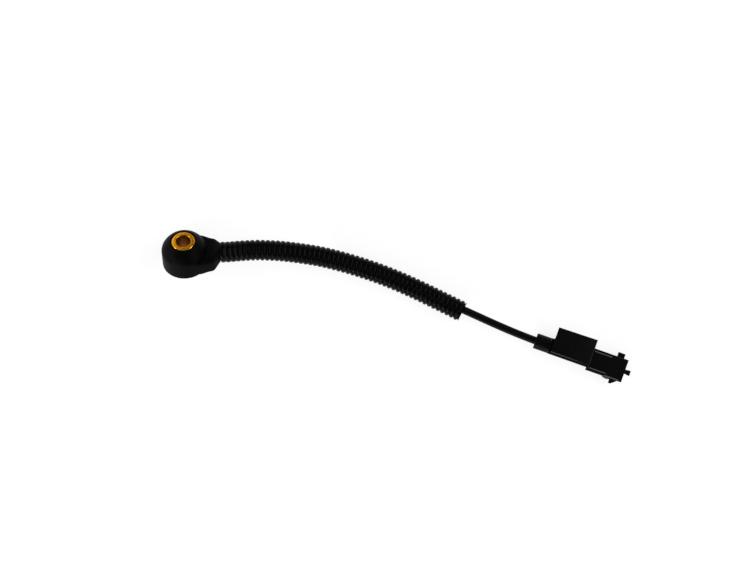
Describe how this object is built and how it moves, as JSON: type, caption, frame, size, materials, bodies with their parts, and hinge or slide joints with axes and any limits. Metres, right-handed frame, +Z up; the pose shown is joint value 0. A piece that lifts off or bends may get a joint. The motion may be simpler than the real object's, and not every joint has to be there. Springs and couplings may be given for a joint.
{
  "type": "engine knock sensor",
  "caption": "Ring-shaped knock sensor with a golden bolt bush, a short lead in a corrugated conduit and a plug-in connector with a clip pocket.",
  "frame": {"origin": "centre of the bolt bore on the bush's seat, the face that the engine block clamps", "axes": "+X from the head towards its neck and the lead, +Z up from the surface that the sensor lies on; the bush leans towards +Y, as the head lies on the rim of its base"},
  "size_m": [0.2667, 0.0873, 0.0268],
  "materials": {
    "black_plastic": "satin black glass-filled moulding",
    "conduit_plastic": "satin black corrugated tube",
    "cable_jacket": "smooth black cable jacket",
    "bush_metal": "golden plated, turned",
    "steel": "turned",
    "brass": "stamped",
    "pin_metal": "tin plated",
    "ceramic": "fired ceramic",
    "insulation": "amber insulating film",
    "rubber": "soft silicone",
    "lock_plastic": "plain moulded",
    "resistor_body": "lacquered",
    "core_red": "smooth insulation",
    "core_white": "smooth insulation"
  },
  "bodies": {
    "root": {"head_housing": "black_plastic", "mounting_bush": "bush_metal", "lower_insulator": "insulation", "lower_contact": "brass", "piezo_ring": "ceramic", "upper_contact": "brass", "upper_insulator": "insulation", "insulating_sleeve": "insulation", "seismic_mass": "steel", "disc_spring": "steel", "clamp_nut": "steel", "bleed_resistor": "resistor_body", "head_core_wire_1": "core_red", "head_core_wire_2": "core_white", "cable": "cable_jacket", "conduit": "conduit_plastic", "connector_housing": "black_plastic", "connector_rear_cap": "black_plastic", "cable_seal": "rubber", "terminal_pin_1": "pin_metal", "terminal_pin_2": "pin_metal", "terminal_lock": "lock_plastic", "connector_core_wire_1": "core_red", "connector_core_wire_2": "core_white"}
  },
  "joints": []
}
